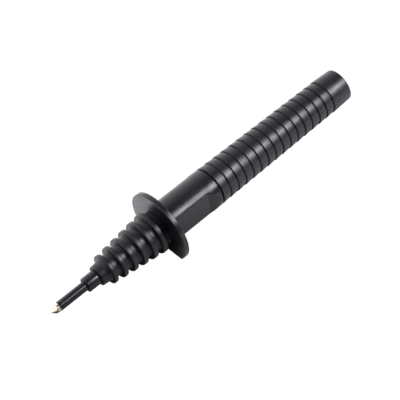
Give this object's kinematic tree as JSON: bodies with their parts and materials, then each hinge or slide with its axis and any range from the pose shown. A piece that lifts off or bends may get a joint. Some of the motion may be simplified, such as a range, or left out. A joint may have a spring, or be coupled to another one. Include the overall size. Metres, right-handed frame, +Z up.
{
  "type": "oscilloscope probe",
  "caption": "Pen-held high-voltage oscilloscope probe: sprung metal point, ribbed insulating nose, round finger guard with a rest flat, ribbed grip and a recessed coaxial receptacle.",
  "frame": {"origin": "the contact point, which is the apex of the metal tip at rest", "axes": "+X runs along the probe's axis from the contact point to the tail; +Z is up, away from the guard's anti-roll flat; the side flats face -Y and +Y"},
  "size_m": [0.2021, 0.0404, 0.0342],
  "materials": {
    "tip_gold": "gold-plated, polished",
    "sleeve_black": "glossy black insulating sleeve",
    "collar_black": "semi-gloss black moulding",
    "seal_rubber": "black rubber seal",
    "nose_black": "satin black insulating rubber",
    "core_ivory": "natural insulating plastic",
    "body_black": "satin black moulding",
    "grip_black": "satin black moulding, finely textured",
    "turned_brass": "turned brass",
    "spring_steel": "drawn spring wire",
    "tinned_copper": "tinned copper",
    "ceramic_white": "glazed ceramic rod",
    "board_green": "green solder mask on glass laminate",
    "resistor_blue": "lacquered resistor body",
    "capacitor_brown": "dipped ceramic disc",
    "trimmer_tan": "moulded trimmer base",
    "support_grey": "grey moulded support",
    "nickel": "nickel plate",
    "insulator_white": "white fluoropolymer",
    "contact_gold": "gold plate"
  },
  "bodies": {
    "probe_body": {"tip_spring": "spring_steel", "guide_bush": "turned_brass", "front_collar": "collar_black", "collar_seal": "seal_rubber", "nose_insulator": "nose_black", "nose_core": "core_ivory", "input_lead": "tinned_copper", "resistor_rod": "ceramic_white", "resistor_end_caps": "nickel", "divider_lead": "tinned_copper", "guard_body": "body_black", "handle_grip": "grip_black", "shield_tube": "tinned_copper", "circuit_board": "board_green", "board_supports": "support_grey", "board_terminals": "tinned_copper", "divider_resistors": "resistor_blue", "compensation_capacitor": "capacitor_brown", "trimmer_body": "trimmer_tan", "output_lead": "tinned_copper", "ground_lead": "tinned_copper", "solder_tag": "tinned_copper", "socket_nut": "nickel", "lock_washer": "nickel", "socket_gasket": "seal_rubber", "socket_shell": "nickel", "socket_insulator": "insulator_white", "socket_contact": "contact_gold"},
    "plunger": {"contact_tip": "tip_gold", "tip_sleeve": "sleeve_black", "contact_rod": "turned_brass"},
    "trimmer": {"trimmer_rotor": "turned_brass"}
  },
  "joints": [
    {"name": "tip_plunge", "type": "slide", "parent": "probe_body", "child": "plunger", "axis": [1, 0, 0], "range_m": [0, 0.003], "stiffness_N_per_m": 150, "springref_m": -0.004, "deforming": ["tip_spring"]},
    {"name": "trimmer_turn", "type": "hinge", "parent": "probe_body", "child": "trimmer", "pos_m": [0.15924, 0, -0.0045], "axis": [0, 0, 1], "range_deg": [-90, 90]}
  ]
}
